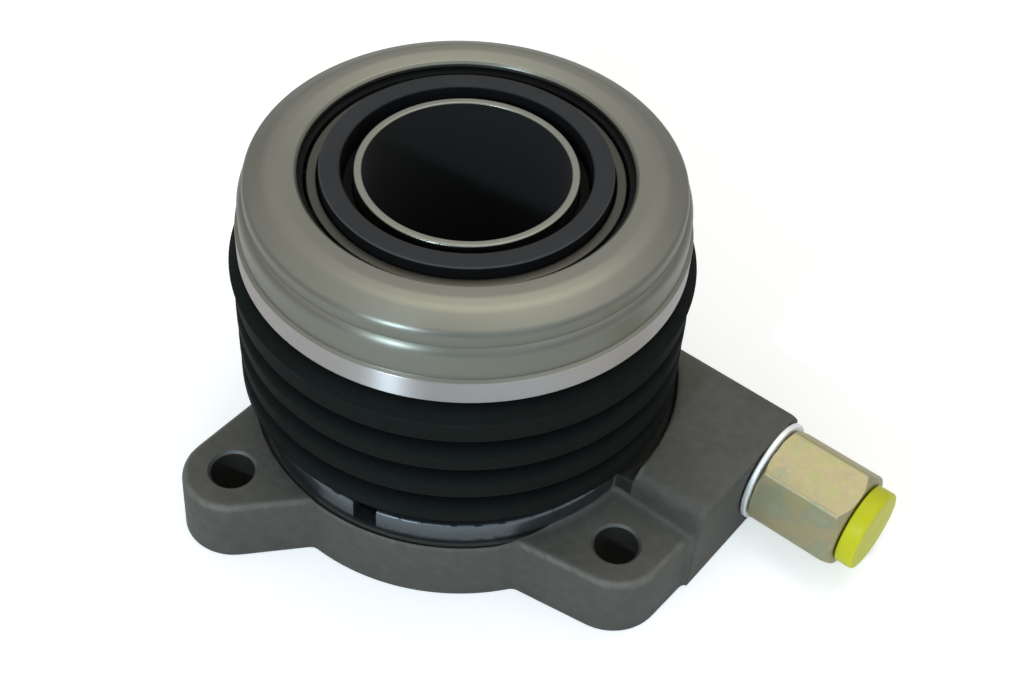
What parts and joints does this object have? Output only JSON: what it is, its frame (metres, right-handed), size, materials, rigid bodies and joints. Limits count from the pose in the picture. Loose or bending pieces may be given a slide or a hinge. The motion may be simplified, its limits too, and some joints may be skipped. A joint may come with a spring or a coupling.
{
  "type": "concentric slave cylinder",
  "caption": "Concentric hydraulic clutch slave cylinder: cast flange with bolt lugs and inlet arm, guide tube, convoluted rubber boot and a covered release bearing.",
  "frame": {"origin": "where the axis of the central bore meets the mounting face of the cast housing", "axes": "+Z along the bore axis, from the mounting face towards the release bearing; +X parallel to the axis of the inlet fitting, pointing out of the hose port"},
  "size_m": [0.1282, 0.1107, 0.0725],
  "materials": {
    "housing": "as cast, dull",
    "guide_tube": "ground",
    "tube_seal": "matte",
    "tube_clip": "oiled",
    "stop_ring": "oiled",
    "spring_seat": "satin",
    "preload_spring": "oiled",
    "boot": "matte",
    "boot_foot_ring": "satin",
    "crush_washer": "bright",
    "hose_adapter": "yellow zinc plated",
    "piston": "moulded",
    "support_ring": "moulded",
    "piston_seal": "matte",
    "wiper_ring": "matte",
    "bearing_carrier": "moulded",
    "wave_washer": "satin",
    "inner_race": "ground",
    "bearing_shell": "drawn, satin",
    "outer_race": "ground",
    "dust_ring": "matte",
    "lower_shield": "satin",
    "ball_cage": "pressed",
    "ball_01": "polished",
    "ball_02": "polished",
    "ball_03": "polished",
    "ball_04": "polished",
    "ball_05": "polished",
    "ball_06": "polished",
    "ball_07": "polished",
    "ball_08": "polished",
    "ball_09": "polished",
    "ball_10": "polished",
    "ball_11": "polished",
    "ball_12": "polished",
    "ball_13": "polished",
    "ball_14": "polished",
    "port_plug": "moulded"
  },
  "bodies": {
    "housing": {"housing": "housing", "guide_tube": "guide_tube", "tube_seal": "tube_seal", "tube_clip": "tube_clip", "stop_ring": "stop_ring", "spring_seat": "spring_seat", "preload_spring": "preload_spring", "boot": "boot", "boot_foot_ring": "boot_foot_ring", "crush_washer": "crush_washer", "hose_adapter": "hose_adapter"},
    "thrust": {"piston": "piston", "support_ring": "support_ring", "piston_seal": "piston_seal", "wiper_ring": "wiper_ring", "bearing_carrier": "bearing_carrier", "wave_washer": "wave_washer", "inner_race": "inner_race"},
    "rotor": {"bearing_shell": "bearing_shell", "outer_race": "outer_race", "dust_ring": "dust_ring", "lower_shield": "lower_shield"},
    "cage": {"ball_cage": "ball_cage", "ball_01": "ball_01", "ball_02": "ball_02", "ball_03": "ball_03", "ball_04": "ball_04", "ball_05": "ball_05", "ball_06": "ball_06", "ball_07": "ball_07", "ball_08": "ball_08", "ball_09": "ball_09", "ball_10": "ball_10", "ball_11": "ball_11", "ball_12": "ball_12", "ball_13": "ball_13", "ball_14": "ball_14"},
    "plug": {"port_plug": "port_plug"}
  },
  "joints": [
    {"name": "bearing_slide", "type": "slide", "parent": "housing", "child": "thrust", "axis": [0, 0, 1], "range_m": [-0.013, 0], "stiffness_N_per_m": 3000, "springref_m": 0.012, "deforming": ["preload_spring", "boot"]},
    {"name": "bearing_spin", "type": "hinge", "parent": "thrust", "child": "rotor", "pos_m": [0, 0, 0.0624], "axis": [0, 0, 1], "continuous": true},
    {"name": "cage_spin", "type": "hinge", "parent": "thrust", "child": "cage", "pos_m": [0, 0, 0.0624], "axis": [0, 0, 1], "continuous": true},
    {"name": "plug_pull", "type": "slide", "parent": "housing", "child": "plug", "axis": [1, 0, 0], "range_m": [0, 0.014]}
  ],
  "couplings": [
    {"joint": "cage_spin", "follows": "bearing_spin", "ratio": 0.54}
  ]
}
